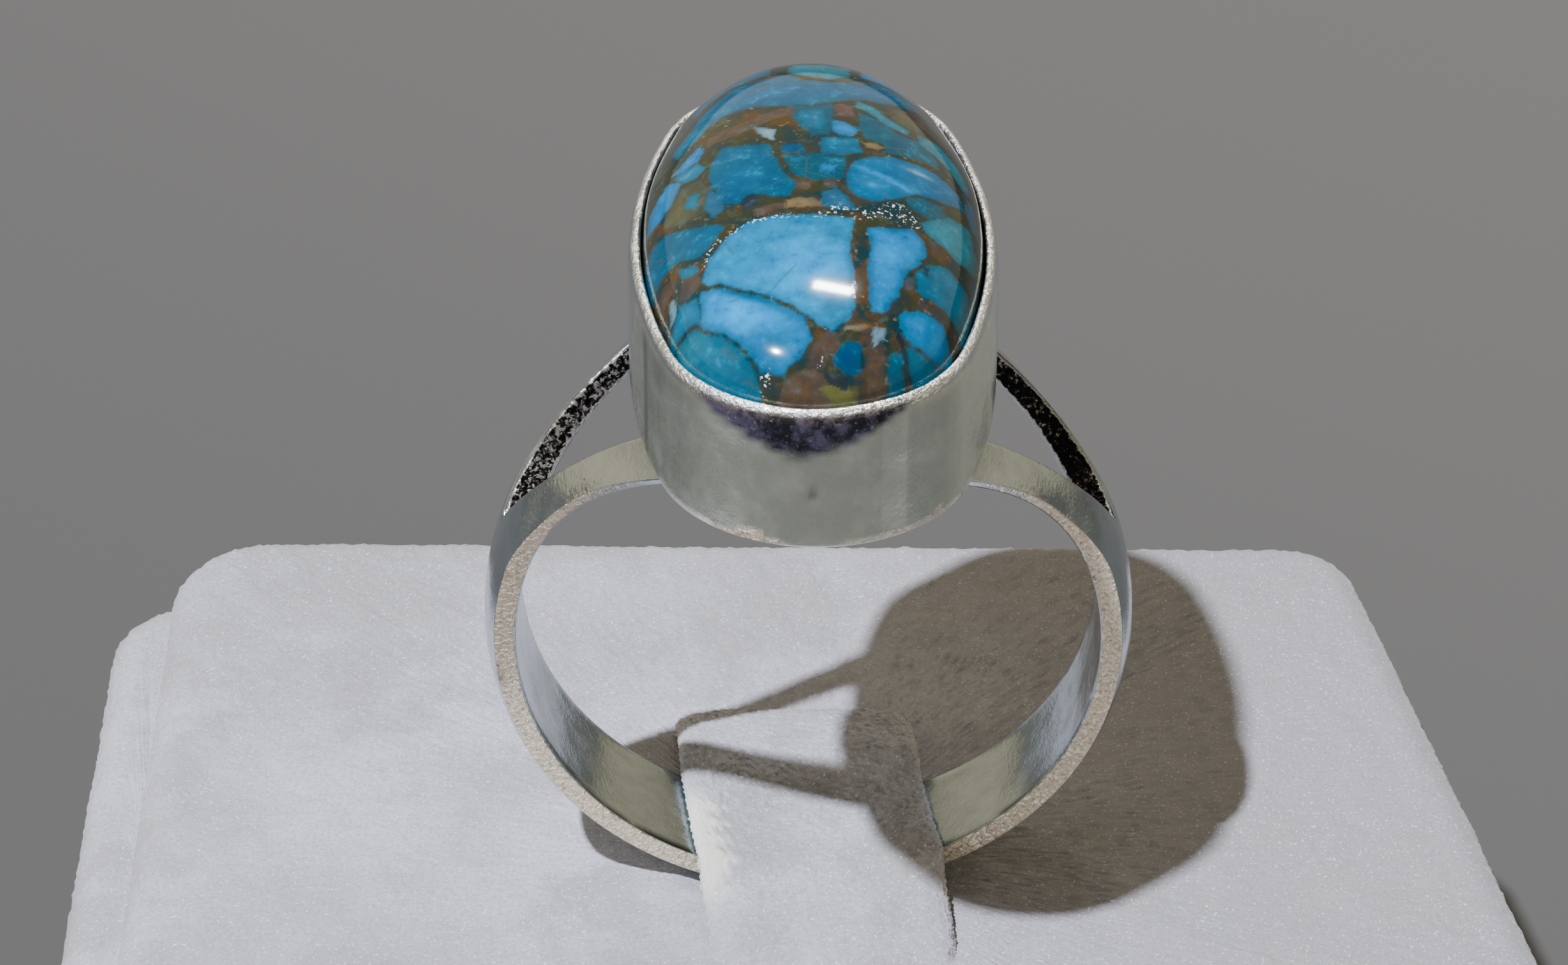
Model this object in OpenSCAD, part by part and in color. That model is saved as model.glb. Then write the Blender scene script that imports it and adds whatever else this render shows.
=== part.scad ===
// Split-shank silver ring with a tall oval bezel and a copper-matrix turquoise
// cabochon, held upright under a velvet strap on a velvet display block.
// +Z is up, +X to the right of the ring's front, the finger goes through along Y.
// The origin is the middle of the block's bottom face.

/* [Shank] */
// Inner radius of the ring, a US size 7
finger_r = 8.65; // [8.4:0.05:8.9]
// Thickness of the band at the middle of its width
crown_t = 1.0; // [0.9:0.05:1.1]
// Thickness of the band's flat edge, at the sides and the bottom
edge_t = 0.63; // [0.5:0.01:0.7]
// Thickness of the band's edge where an arm meets the bezel
arm_edge_t = 0.22; // [0.2:0.01:0.3]
// Half the width of the band at the sides and the bottom
band_half_w = 1.8; // [1.6:0.05:2]
// How much further the arms reach, each way, at the top
arm_spread = 4.16; // [3.8:0.01:4.4]
// Angle from the top at which the band splits into two arms
split_start = 70; // [66:1:72]
// Half of the split's width, as it would be halfway to the top
split_half_w = 2.5; // [2.2:0.05:2.6]

/* [Bezel] */
// Half the bezel's width, across the finger
bezel_half_w = 5.3; // [5.2:0.05:5.5]
// Half the bezel's length, along the finger
bezel_half_l = 9.0; // [8.8:0.05:9.2]
// Radius of the arc at each end of the oval
bezel_end_r = 4.6; // [4.4:0.05:4.7]
// Height of the bezel from its lower edge to its rim
bezel_h = 4.47; // [4.2:0.01:4.6]
// Thickness of the bezel's wall
bezel_t = 0.35; // [0.3:0.05:0.4]
// Thickness of the plate under the stone
plate_t = 0.45; // [0.4:0.05:0.6]
// How far to the right of the finger circle's middle the bezel is soldered
bezel_off = 0.1; // [0:0.05:0.15]
// How far the bezel is turned on the shank, in degrees
bezel_turn = 1.2; // [0:0.2:1.6]

/* [Stone] */
// Height of the dome above the bezel's rim
dome_h = 2.8; // [2.6:0.05:3.2]
// How much slimmer the dome is at its far end, as a share of its width
far_pinch = 0.2; // [0:0.05:0.25]
// Gap between the stone and the metal
stone_gap = 0.08; // [0.05:0.01:0.1]

/* [Display block] */
// Height of the velvet block
block_h = 18.8; // [14:0.1:24]
// Half the block's width at its front and its left side
block_half_w = 22.75; // [22:0.05:24]
// Half the block's depth, front to back
block_half_d = 16.6; // [16:0.1:18]
// Radius of the block's soft upper edge
block_edge_r = 1.2; // [0.8:0.1:1.6]
// Width of the lower step along the block's left side
step_w = 1.9; // [1.6:0.1:2.4]
// How far that step lies below the block's top
step_drop = 1.1; // [0.8:0.1:1.4]
// How deep the band sits in its groove in the block
sink = 0.8; // [0.6:0.1:0.8]

/* [Strap] */
// Width of the velvet strap that holds the band down
strap_w = 7.3; // [6.8:0.1:7.6]
// Thickness of the strap
strap_t = 1.0; // [1:0.05:1.1]

/* [Hidden] */

$fn = 96;
seat_gap = 0.05;
ring_z = block_h - sink + seat_gap + finger_r + crown_t;

// The bezel stands on the finger circle's top, and its plate is just inside it
bezel_z = finger_r - 0.05;
bezel_end_y = bezel_half_l - bezel_end_r;
// Radius of the long side arcs, tangent inside to the end arcs
bezel_side_r = (pow(bezel_half_w, 2) + pow(bezel_end_y, 2) - pow(bezel_end_r, 2))
               / (2 * (bezel_half_w - bezel_end_r));
bezel_side_x = bezel_side_r - bezel_half_w;
bezel_centre_gap = norm([bezel_side_x, bezel_end_y]);

// The shank is cut level inside the plate, so that nothing of it reaches the stone
shank_top = bezel_z + plate_t / 2;
section_step = 4;
section_cells = 8;
overcut = 0.3;
cut_reach = 30;

// Power with which the band spreads towards the top, and that of its crown
spread_power = 3.4;
crown_power = 2.5;
// The edge thickens from the arms down to the sides: evenly from the first angle,
// and by the larger part from the angle at which the arms join
edge_from = 30;
edge_over = 30;
join_from = 56;
join_over = 18;
join_t = 0.29;
// Angle over which the split reaches its half width, and the power of its curve
split_over = 35;
split_power = 0.8;

// The stone's foot is drawn in below a short chamfer, its girdle lies below the rim,
// and its dome draws in and rises with powers of the cosine and the sine
foot_share = 0.96;
foot_rise = 0.4;
girdle_drop = 0.25;
dome_in_power = 0.9;
dome_up_power = 0.95;
dome_rings = 9;
// Where along the stone the dome starts to grow slimmer, over what length, and the
// share of its height at which it is so in full
pinch_from = 1;
pinch_over = 7;
pinch_rise = 0.6;

// Corners of the block, the place where its right side starts to lean out, and how
// far the step stops short of the back
back_corner_r = 3.2;
front_corner_r = 2.5;
back_right_x = 18.1;
lean_y = -8.1;
step_short = 1.5;

// Share of the strap's thickness at its sides, and how far in from them it is full
strap_side = 0.5;
strap_side_in = 0.3;

// Rise from 0 to 1, level at both ends
function smooth(u) = let (c = min(1, max(0, u))) c * c * (3 - 2 * c);

// Half width of the band at an angle from the top: even below the sides, and
// spreading with a power of the cosine above them
function half_width(a) = band_half_w + arm_spread * pow(max(0, cos(a)), spread_power);

// Thickness of the band's edge at an angle from the top
function edge_at(a) = let (b = abs(a), rest = edge_t - arm_edge_t - join_t)
    arm_edge_t + rest * min(1, max(0, (b - edge_from) / edge_over))
    + join_t * smooth((b - join_from) / join_over);

// Thickness of the band at an angle from the top and a place across its width
function band_t(a, y) = let (e = edge_at(a))
    e + (crown_t - e) * (1 - pow(min(1, abs(y) / half_width(a)), crown_power));

// One section of the band: the inner line, then the domed outer line back
function band_section(a) = let (w = half_width(a), s = sin(a), c = cos(a), ri = finger_r - overcut)
    concat(
        [for (y = [-w, w]) [ri * s, y, ri * c]],
        [for (i = [0:section_cells])
            let (y = w * (1 - 2 * i / section_cells), r = finger_r + band_t(a, y))
            [r * s, y, r * c]]);

// Half of the split's width at an angle from the top, nought where it starts
function split_at(a) = split_half_w * pow(max(0, (split_start - a) / split_over), split_power);

// The sections joined round into one closed band
module band_ring() {
    angles = [-180:section_step:180 - section_step];
    sections = [for (a = angles) band_section(a)];
    n = len(sections);
    m = len(sections[0]);
    polyhedron(
        points = [for (s = sections) each s],
        faces = [for (i = [0:n - 1], j = [0:m - 1])
            let (i2 = (i + 1) % n, j2 = (j + 1) % m,
                 p = i * m + j, q = i * m + j2, r = i2 * m + j2, s = i2 * m + j)
            each [[p, r, q], [p, s, r]]]);
}

// Plan of one split: from its point on the side up to the bezel
module split_plan() {
    r = finger_r + crown_t / 2;
    side = [for (a = [split_start:-5:20]) [r * sin(a), split_at(a)]];
    polygon(concat(side, [for (i = [len(side) - 1:-1:1]) [side[i][0], -side[i][1]]]));
}

module shank() {
    difference() {
        band_ring();
        rotate([90, 0, 0]) cylinder(h = cut_reach, r = finger_r, center = true);
        translate([-cut_reach / 2, -cut_reach / 2, shank_top]) cube(cut_reach);
        for (side = [0, 1]) mirror([side, 0, 0]) linear_extrude(cut_reach) split_plan();
    }
}

// The oval of four tangent arcs, drawn in by an inset
module bezel_oval(inset) {
    side_r = bezel_side_r - inset;
    tangent_y = side_r * bezel_end_y / bezel_centre_gap;
    intersection() {
        translate([-bezel_side_x, 0]) circle(r = side_r, $fn = 360);
        translate([bezel_side_x, 0]) circle(r = side_r, $fn = 360);
        square([4 * bezel_half_w, 2 * tangent_y], center = true);
    }
    for (end = [-1, 1]) translate([0, end * bezel_end_y]) circle(r = bezel_end_r - inset);
}

module bezel_cup() {
    difference() {
        linear_extrude(bezel_h) bezel_oval(0);
        translate([0, 0, plate_t]) linear_extrude(bezel_h) bezel_oval(bezel_t);
    }
}

// Shank, arms, bezel and plate are soldered into one piece of silver
module silver_mounting() {
    color([0.72, 0.72, 0.68]) translate([0, 0, ring_z]) {
        shank();
        on_shank() translate([0, 0, bezel_z]) bezel_cup();
    }
}

// Where the bezel and the stone are set on the shank
module on_shank() {
    translate([bezel_off, 0, 0]) rotate([0, 0, bezel_turn]) children();
}

// Points round the bezel's oval, drawn in by an inset: each quarter runs along a
// side arc and then along an end arc
side_cells = 5;
end_cells = 7;
tangent_angle = atan2(bezel_end_y, bezel_side_x);
function oval_quarter(inset) = concat(
    [for (i = [0:side_cells - 1]) let (a = tangent_angle * i / side_cells, r = bezel_side_r - inset)
        [r * cos(a) - bezel_side_x, r * sin(a)]],
    [for (i = [0:end_cells - 1])
        let (a = tangent_angle + (90 - tangent_angle) * i / end_cells, r = bezel_end_r - inset)
        [r * cos(a), r * sin(a) + bezel_end_y]]);
function mirror_back(q, inset) = concat([[0, bezel_half_l - inset]],
    [for (i = [len(q) - 1:-1:1]) [-q[i][0], q[i][1]]]);
function oval_outline(inset) = let (q = oval_quarter(inset), half = concat(q, mirror_back(q, inset)))
    concat(half, [for (p = half) -p]);

// The stone's outline inside the bezel, drawn in further by a share of its size
stone_outline = oval_outline(bezel_t + stone_gap);
stone_sides = len(stone_outline);
function stone_ring(share, z) = [for (p = stone_outline) [share * p[0], share * p[1], z]];
function slimmer(y, h) = 1 - far_pinch * smooth((y - pinch_from) / pinch_over) * smooth(h / pinch_rise);
function dome_ring(share, h, z) = [for (p = stone_ring(share, z)) [p[0] * slimmer(p[1], h), p[1], z]];

// A flat foot, an upright girdle inside the bezel and a high dome
module stone_body() {
    foot_z = bezel_z + plate_t + stone_gap;
    girdle_z = bezel_z + bezel_h - girdle_drop;
    rise = dome_h + girdle_drop;
    rings = concat(
        [stone_ring(foot_share, foot_z), stone_ring(1, foot_z + foot_rise)],
        [for (k = [0:dome_rings - 1]) let (t = 90 * k / dome_rings, h = pow(sin(t), dome_up_power))
            dome_ring(pow(cos(t), dome_in_power), h, girdle_z + rise * h)]);
    n = len(rings);
    m = stone_sides;
    polyhedron(
        points = concat([for (r = rings) each r], [[0, 0, foot_z], [0, 0, girdle_z + rise]]),
        faces = concat(
            [for (i = [0:n - 2], j = [0:m - 1]) let (j2 = (j + 1) % m)
                each [[i * m + j2, i * m + j, (i + 1) * m + j],
                      [i * m + j2, (i + 1) * m + j, (i + 1) * m + j2]]],
            [for (j = [0:m - 1]) [n * m, j, (j + 1) % m]],
            [for (j = [0:m - 1]) let (top = (n - 1) * m) [n * m + 1, top + (j + 1) % m, top + j]]));
}

module turquoise_cabochon() {
    color([0.08, 0.45, 0.62]) translate([0, 0, ring_z]) on_shank() stone_body();
}

// One upright corner of the block, with a soft upper edge
module block_corner(r, h) {
    cylinder(r = r, h = h - block_edge_r, $fn = 32);
    translate([0, 0, h - block_edge_r]) rotate_extrude($fn = 32)
        translate([r - block_edge_r, 0]) circle(r = block_edge_r, $fn = 16);
}

// The velvet block: a pad whose right side leans out towards the front, with a
// lower step along its left side
module block_pad() {
    left = block_half_w - step_w;
    // Middle of each corner's arc, and its radius: x, y, r
    corners = [
        [-left + back_corner_r, block_half_d - back_corner_r, back_corner_r],
        [back_right_x - front_corner_r, block_half_d - front_corner_r, front_corner_r],
        [block_half_w - front_corner_r, lean_y, front_corner_r],
        [block_half_w - front_corner_r, -block_half_d + front_corner_r, front_corner_r],
        [-left + front_corner_r, -block_half_d + front_corner_r, front_corner_r]];
    hull() for (c = corners) translate([c[0], c[1], 0]) block_corner(c[2], block_h);
    hull() for (y = [-block_half_d + front_corner_r, block_half_d - back_corner_r - step_short])
        translate([-block_half_w + front_corner_r, y, 0])
            block_corner(front_corner_r, block_h - step_drop);
}

// The block, with the shallow groove that the band is pressed into
module display_block() {
    color([0.86, 0.85, 0.86]) difference() {
        block_pad();
        translate([0, 0, ring_z]) rotate([90, 0, 0])
            cylinder(h = 2 * (band_half_w + seat_gap), r = finger_r + crown_t + seat_gap, center = true);
    }
}

// Route of the strap, front to back: place across of its middle, place along, height
// of its underside's middle over the block, share of the finger circle's curve that
// its underside follows, and share of its thickness
strap_route = [
    [0.80, -5.60, 0.05, 0.10, 0.20],
    [0.78, -5.20, 0.06, 0.12, 0.55],
    [0.65, -4.30, 0.12, 0.30, 0.85],
    [0.45, -3.20, 0.24, 0.65, 1.00],
    [0.25, -2.30, 0.33, 1.00, 1.00],
    [-0.05, -1.00, 0.33, 1.00, 1.00],
    [-0.20, 0.50, 0.33, 1.00, 1.00],
    [-0.25, 1.95, 0.38, 1.00, 1.00],
    [-0.30, 2.80, 0.62, 0.60, 1.00],
    [-0.35, 3.80, 0.75, 0.35, 1.00],
    [-0.40, 5.00, 0.62, 0.15, 1.00],
    [-0.45, 6.00, 0.25, 0.12, 0.75],
    [-0.50, 6.80, 0.06, 0.11, 0.35],
    [-0.50, 7.20, 0.05, 0.10, 0.15]];

// Rise of the finger circle's inside at a place across, from its lowest point
function circle_rise(x) = finger_r - sqrt(finger_r * finger_r - x * x);

// One upright section: a strip that sags into the ring, full in the middle
function strap_section(p) =
    let (w = strap_w / 2, t = strap_t * p[4])
    [for (q = [[-w, 0], [-w / 2, 0], [0, 0], [w / 2, 0], [w, 0],
               [w, strap_side * t], [w - strap_side_in, t], [w / 2, t], [0, t], [-w / 2, t],
               [-w + strap_side_in, t], [-w, strap_side * t]])
        [p[0] + q[0], p[1], block_h + p[2] + p[3] * circle_rise(p[0] + q[0]) + q[1]]];

// The strap that lies over the inside of the band and holds the ring upright
module ring_strap() {
    sections = [for (p = strap_route) strap_section(p)];
    n = len(sections);
    m = len(sections[0]);
    color([0.9, 0.89, 0.9]) polyhedron(
        points = [for (s = sections) each s],
        faces = concat(
            [[for (j = [0:m - 1]) j]],
            [for (i = [0:n - 2], j = [0:m - 1]) let (j2 = (j + 1) % m)
                each [[i * m + j2, i * m + j, (i + 1) * m + j],
                      [i * m + j2, (i + 1) * m + j, (i + 1) * m + j2]]],
            [[for (j = [m - 1:-1:0]) (n - 1) * m + j]]));
}

silver_mounting();
turquoise_cabochon();
display_block();
ring_strap();
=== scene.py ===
"""Looks of a split-shank turquoise ring on its velvet display block.

Every piece is a surface worked out with numpy in millimetres from the ring's centre,
with +X to the right, +Y through the finger hole away from the viewer and +Z up.
"""

import math

import bmesh
import bpy
import numpy as np
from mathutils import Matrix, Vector


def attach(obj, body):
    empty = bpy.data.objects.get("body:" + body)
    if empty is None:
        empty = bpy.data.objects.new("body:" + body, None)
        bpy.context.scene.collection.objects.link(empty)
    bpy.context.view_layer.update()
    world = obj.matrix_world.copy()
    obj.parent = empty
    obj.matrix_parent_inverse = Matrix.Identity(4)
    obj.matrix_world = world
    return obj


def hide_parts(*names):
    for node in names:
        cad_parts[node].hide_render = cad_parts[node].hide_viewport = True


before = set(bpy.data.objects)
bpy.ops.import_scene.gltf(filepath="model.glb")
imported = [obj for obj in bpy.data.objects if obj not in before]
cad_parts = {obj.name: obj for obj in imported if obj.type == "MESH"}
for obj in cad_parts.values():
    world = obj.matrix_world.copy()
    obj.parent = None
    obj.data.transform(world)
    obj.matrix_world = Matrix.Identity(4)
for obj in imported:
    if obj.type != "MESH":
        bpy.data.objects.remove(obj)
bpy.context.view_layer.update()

MM = 0.001

# Sizes shared with the part's source, in millimetres and degrees
FINGER_R = 8.65
CROWN_T = 1.0
EDGE_T = 0.63
ARM_EDGE_T = 0.22
BAND_HALF_W = 1.8
ARM_SPREAD = 4.16
SPLIT_START = 70.0
SPLIT_HALF_W = 2.5
SPREAD_POWER = 3.4
CROWN_POWER = 2.5
SPLIT_POWER = 0.8
BEZEL_HALF_W = 5.3
BEZEL_HALF_L = 9.0
BEZEL_END_R = 4.6
BEZEL_H = 4.47
BEZEL_T = 0.35
PLATE_T = 0.45
BEZEL_OFF = 0.1
BEZEL_TURN = 1.2
DOME_H = 2.8
STONE_GAP = 0.08
GIRDLE_DROP = 0.25
FOOT_SHARE = 0.96
FOOT_RISE = 0.4
DOME_IN_POWER = 0.9
DOME_UP_POWER = 0.95
FAR_PINCH = 0.2
PINCH_FROM = 1.0
PINCH_OVER = 7.0
PINCH_RISE = 0.6
BLOCK_H = 18.8
BLOCK_HALF_W = 22.75
BLOCK_HALF_D = 16.6
BLOCK_EDGE_R = 1.2
BACK_CORNER_R = 3.2
FRONT_CORNER_R = 2.5
BACK_RIGHT_X = 18.1
LEAN_Y = -8.1
STEP_W = 1.9
STEP_DROP = 1.1
STEP_SHORT = 1.5
SINK = 0.8
SEAT_GAP = 0.05

# Height of the ring's centre over the floor, and of the bezel's foot and the block's top over that centre
RING_Z = round(BLOCK_H - SINK + SEAT_GAP + FINGER_R + CROWN_T, 2)
BEZEL_Z = FINGER_R - 0.05
BLOCK_TOP = BLOCK_H - RING_Z

# The strap as it is shown, which is thinner than its solid
STRAP_W = 7.4
STRAP_T = 0.5

# Spread of the nap's ends about the cloth's surface
BLOCK_FUR = 0.02
STRAP_FUR = 0.03

# The dent round the band in the block: half width, width of its soft side and half length
DENT_HALF_W = 2.45
DENT_SLOPE = 0.6
DENT_REACH = 6


def smooth(u):
    """Rise from 0 to 1, level at both ends."""
    c = np.clip(u, 0, 1)
    return c * c * (3 - 2 * c)


def wave(x, y, z, size, seed):
    """A soft wandering value from -1 to 1: a sum of five sine waves in different directions, the longest of
    about the given size."""
    rng = np.random.default_rng(seed)
    total, weight = 0.0, 0.0
    for k in range(5):
        d = rng.normal(size=3)
        d *= (1.7**k) * 2 * math.pi / size / np.linalg.norm(d)
        total = total + np.sin(d[0] * x + d[1] * y + d[2] * z + rng.uniform(0, 6.28)) / 1.6**k
        weight += 1 / 1.6**k
    return total / weight


def build(name, grids, material, sharp_deg=None):
    """One closed mesh from grids of points, each rows by columns by 3 in millimetres. Seams and poles are
    welded and the faces turned outward."""
    points, faces, start = [], [], 0
    for grid in grids:
        rows, columns = grid.shape[:2]
        i = start + np.arange(rows * columns).reshape(rows, columns)
        faces.append(np.stack([i[:-1, :-1], i[1:, :-1], i[1:, 1:], i[:-1, 1:]], -1).reshape(-1, 4))
        points.append(grid.reshape(-1, 3))
        start += rows * columns
    co = (np.concatenate(points) + [0, 0, RING_Z]) * MM
    mesh = bpy.data.meshes.new(name)
    mesh.from_pydata(co, [], np.concatenate(faces))
    bm = bmesh.new()
    bm.from_mesh(mesh)
    bmesh.ops.remove_doubles(bm, verts=bm.verts, dist=2e-7)
    bmesh.ops.recalc_face_normals(bm, faces=bm.faces)
    bm.to_mesh(mesh)
    bm.free()
    mesh.shade_smooth()
    if sharp_deg:
        mesh.set_sharp_from_angle(angle=math.radians(sharp_deg))
    mesh.materials.append(material)
    obj = bpy.data.objects.new(name, mesh)
    bpy.context.scene.collection.objects.link(obj)
    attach(obj, "root")
    return obj


def places(obj):
    """The mesh's points as x, y, z in millimetres from the ring's centre."""
    co = np.zeros(len(obj.data.vertices) * 3)
    obj.data.vertices.foreach_get("co", co)
    return (co.reshape(-1, 3) / MM - [0, 0, RING_Z]).T


def on_shank(grids):
    """The bezel's or the stone's points, turned and shifted to their place on the shank."""
    c, s = math.cos(math.radians(BEZEL_TURN)), math.sin(math.radians(BEZEL_TURN))
    return [grid @ np.array([[c, s, 0], [-s, c, 0], [0, 0, 1]]) + [BEZEL_OFF, 0, 0] for grid in grids]


def capped(line):
    """Grid that closes a ring of points to its middle."""
    return np.stack([line, np.repeat(line.mean(0)[None], len(line), 0)])


def paint(obj, name, values):
    """Stores one number, or one colour, for each point."""
    if np.ndim(values) == 1:
        obj.data.attributes.new(name, "FLOAT", "POINT").data.foreach_set("value", values.astype(np.float32))
    else:
        rgba = np.concatenate([values, np.ones((len(values), 1))], 1).astype(np.float32)
        obj.data.attributes.new(name, "FLOAT_COLOR", "POINT").data.foreach_set("color", rgba.ravel())


# Node helpers


class Nodes:
    """Short calls that add nodes to one material and join them. A value may be a socket."""

    def __init__(self, name):
        self.material = bpy.data.materials.new(name)
        self.material.use_nodes = True
        self.tree = self.material.node_tree
        self.shader = self.tree.nodes["Principled BSDF"]
        self.place = self.add("ShaderNodeTexCoord").outputs["Object"]

    def add(self, kind, **settings):
        node = self.tree.nodes.new(kind)
        for key, value in settings.items():
            setattr(node, key, value)
        return node

    def put(self, socket, value):
        if isinstance(value, bpy.types.NodeSocket):
            self.tree.links.new(value, socket)
        else:
            socket.default_value = value

    def attribute(self, name, colour=False):
        """A number or a colour stored for each point."""
        node = self.add("ShaderNodeAttribute", attribute_name=name)
        return node.outputs["Color" if colour else "Fac"]

    def along(self, axis):
        """The place along one axis, in metres."""
        node = self.add("ShaderNodeSeparateXYZ")
        self.put(node.inputs[0], self.place)
        return node.outputs[axis]

    def noise(self, size_mm, detail=4.0, rough=0.55, place=None):
        """Cloudy noise from 0 to 1 whose largest forms have about the given size."""
        node = self.add("ShaderNodeTexNoise")
        self.put(node.inputs["Vector"], place or self.place)
        self.put(node.inputs["Scale"], 1 / (size_mm * MM))
        self.put(node.inputs["Detail"], detail)
        self.put(node.inputs["Roughness"], rough)
        return node.outputs["Fac"]

    def crack_distance(self, size_mm):
        """Distance to the nearest border between cells of the given size, as a share of it."""
        node = self.add("ShaderNodeTexVoronoi", feature="DISTANCE_TO_EDGE")
        self.put(node.inputs["Vector"], self.place)
        self.put(node.inputs["Scale"], 1 / (size_mm * MM))
        return node.outputs["Distance"]

    def stretched(self, x, y, z):
        """The place scaled along each axis: a small scale draws a pattern out."""
        node = self.add("ShaderNodeMapping")
        self.put(node.inputs["Vector"], self.place)
        self.put(node.inputs["Scale"], (x, y, z))
        return node.outputs["Vector"]

    def step(self, value, low, high, out_low=0.0, out_high=1.0):
        """A smooth step between two values while the input goes from low to high."""
        node = self.add("ShaderNodeMapRange", interpolation_type="SMOOTHSTEP")
        ends = {"Value": value, "From Min": low, "From Max": high, "To Min": out_low, "To Max": out_high}
        for key, end in ends.items():
            self.put(node.inputs[key], end)
        return node.outputs["Result"]

    def math(self, operation, a, b=0.0, c=0.0):
        node = self.add("ShaderNodeMath", operation=operation)
        for socket, value in zip(node.inputs, (a, b, c)):
            self.put(socket, value)
        return node.outputs[0]

    def plus(self, a, b):
        return self.math("ADD", a, b)

    def times(self, a, b):
        return self.math("MULTIPLY", a, b)

    def swing(self, value, amount):
        """A value from 0 to 1 made to swing about nought by the amount in all."""
        return self.times(self.math("SUBTRACT", value, 0.5), amount)

    def mix(self, share, a, b):
        """Colour a with the share 0, colour b with the share 1."""
        node = self.add("ShaderNodeMix", data_type="RGBA")
        self.put(node.inputs["Factor"], share)
        for key, value in (("A", a), ("B", b)):
            socket = next(s for s in node.inputs if s.name == key and s.type == "RGBA")
            self.put(socket, (*value, 1.0) if isinstance(value, tuple) else value)
        return next(s for s in node.outputs if s.type == "RGBA")

    def bump(self, height, depth_mm, strength=1.0, normal=None):
        node = self.add("ShaderNodeBump")
        self.put(node.inputs["Height"], height)
        self.put(node.inputs["Distance"], depth_mm * MM)
        self.put(node.inputs["Strength"], strength)
        if normal:
            self.put(node.inputs["Normal"], normal)
        return node.outputs["Normal"]

    def set(self, **values):
        """Sets the shader's sockets, named with underscores for spaces."""
        for key, value in values.items():
            socket = self.shader.inputs[key.replace("_", " ")]
            self.put(socket, (*value, 1.0) if isinstance(value, tuple) and len(value) == 3 else value)


# Silver


def silver_material():
    """Polished grey-olive silver. Six point attributes steer it: pitted is 1 on the band's matt edge faces,
    dark is about 1 in the black split walls, stain darkens single places, among them a painted dark
    reflection line, bloom is a painted dark purple reflection under the front rim, tone is the brightness of
    the polish with painted reflections, painted shade and a painted highlight in it, and cast is how warm and
    satin it is; the cooler polish where cast is 0 offsets the warm light that the silver reflects."""
    n = Nodes("silver")
    names = "pitted dark stain bloom tone cast".split()
    pitted, dark, stain, bloom, tone, cast = (n.attribute(name) for name in names)
    grain = n.noise(0.12, 3)

    # Polish with soft clouds and upright brush marks
    brushed = n.noise(0.5, 5, 0.65, place=n.stretched(1.0, 1.0, 0.12))
    bright = n.plus(n.plus(tone, n.swing(n.noise(1.6, 5), 0.22)), n.swing(brushed, 0.30))
    # The polish is cooler away from the front wall, to offset the warm light that the silver reflects
    light = n.mix(cast, (0.80, 0.90, 0.97), (0.95, 1.0, 0.86))
    base = n.mix(bright, (0.21, 0.252, 0.25), light)

    # Matt edge faces with grains and dark pits
    matt = n.mix(tone, (0.50, 0.41, 0.30), (1.0, 0.90, 0.70))
    matt = n.mix(n.times(n.step(grain, 0.50, 0.35), 0.5), matt, (0.36, 0.30, 0.24))
    pits = n.step(n.noise(0.3, 5, 0.7), 0.40, 0.32)
    matt = n.mix(n.times(pits, 0.8), matt, (0.10, 0.075, 0.06))
    base = n.mix(pitted, base, matt)

    # Single dark places, among them a painted dark reflection line, then a painted dark purple reflection
    # under the front rim, lighter at its left end
    patchy = n.step(n.noise(0.35, 4, 0.6), 0.05, 0.42)
    base = n.mix(n.times(stain, patchy), base, (0.020, 0.021, 0.035))
    blotch = n.plus(n.noise(0.45, 5, 0.65), n.step(n.along("X"), -0.0008, -0.0030, 0.0, 0.16))
    purple = n.mix(n.step(blotch, 0.40, 0.64), (0.026, 0.024, 0.060), (0.25, 0.225, 0.40))
    purple = n.mix(n.times(n.step(grain, 0.60, 0.68), 0.5), purple, (0.75, 0.75, 0.80))
    base = n.mix(bloom, base, purple)

    # Black split walls with bright crumbs, which are fewer where the wall is darker
    open_at = n.math("MULTIPLY_ADD", dark, 0.34, 0.22)
    crumbs = n.step(n.noise(0.16, 6, 0.7), open_at, n.plus(open_at, 0.14))
    black = n.mix(crumbs, (0.012, 0.010, 0.009), (0.66, 0.63, 0.56))
    base = n.mix(n.step(dark, 0.2, 0.6), base, black)

    scuffs = n.step(n.noise(0.9, 6, 0.65), 0.42, 0.72)
    rough = n.plus(n.times(scuffs, 0.14), 0.14)
    for attribute, amount in ((pitted, 0.35), (dark, 0.25), (cast, 0.13)):
        rough = n.plus(rough, n.times(attribute, amount))
    soft = n.bump(n.noise(1.4, 2, 0.4), 0.05)
    fine = n.bump(grain, 0.010, normal=soft)
    dents = n.times(n.step(n.noise(0.16, 4, 0.6), 0.40, 0.62), n.plus(pitted, dark))
    n.set(Base_Color=base, Metallic=1.0, Roughness=rough, Normal=n.bump(dents, 0.05, normal=fine))
    return n.material


def half_width(a):
    """Half width of the band at an angle from the top, in degrees: even below the sides, and spreading with a
    power of the cosine above them."""
    return BAND_HALF_W + ARM_SPREAD * np.maximum(0, np.cos(np.radians(a))) ** SPREAD_POWER


def edge_at(a):
    """Thickness of the band's edge at an angle from the top: the arm's thin edge, an even rise from 30 to 60
    degrees and a smooth one from 56 to 74 degrees."""
    b, side_rise = np.abs(a), 0.29
    arm_rise = EDGE_T - ARM_EDGE_T - side_rise
    return ARM_EDGE_T + arm_rise * np.clip((b - 30) / 30, 0, 1) + side_rise * smooth((b - 56) / 18)


def band_t(a, y):
    """Thickness of the band at an angle from the top and a place across: it falls from the crown to the edge
    with a power of the way across."""
    e = edge_at(a)
    return e + (CROWN_T - e) * (1 - np.minimum(1, np.abs(y) / half_width(a)) ** CROWN_POWER)


def split_at(a):
    """Half of the split's width at an angle from the top: a power of the way up from where it starts."""
    return SPLIT_HALF_W * np.maximum(0, (SPLIT_START - np.abs(a)) / (SPLIT_START / 2)) ** SPLIT_POWER


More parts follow.
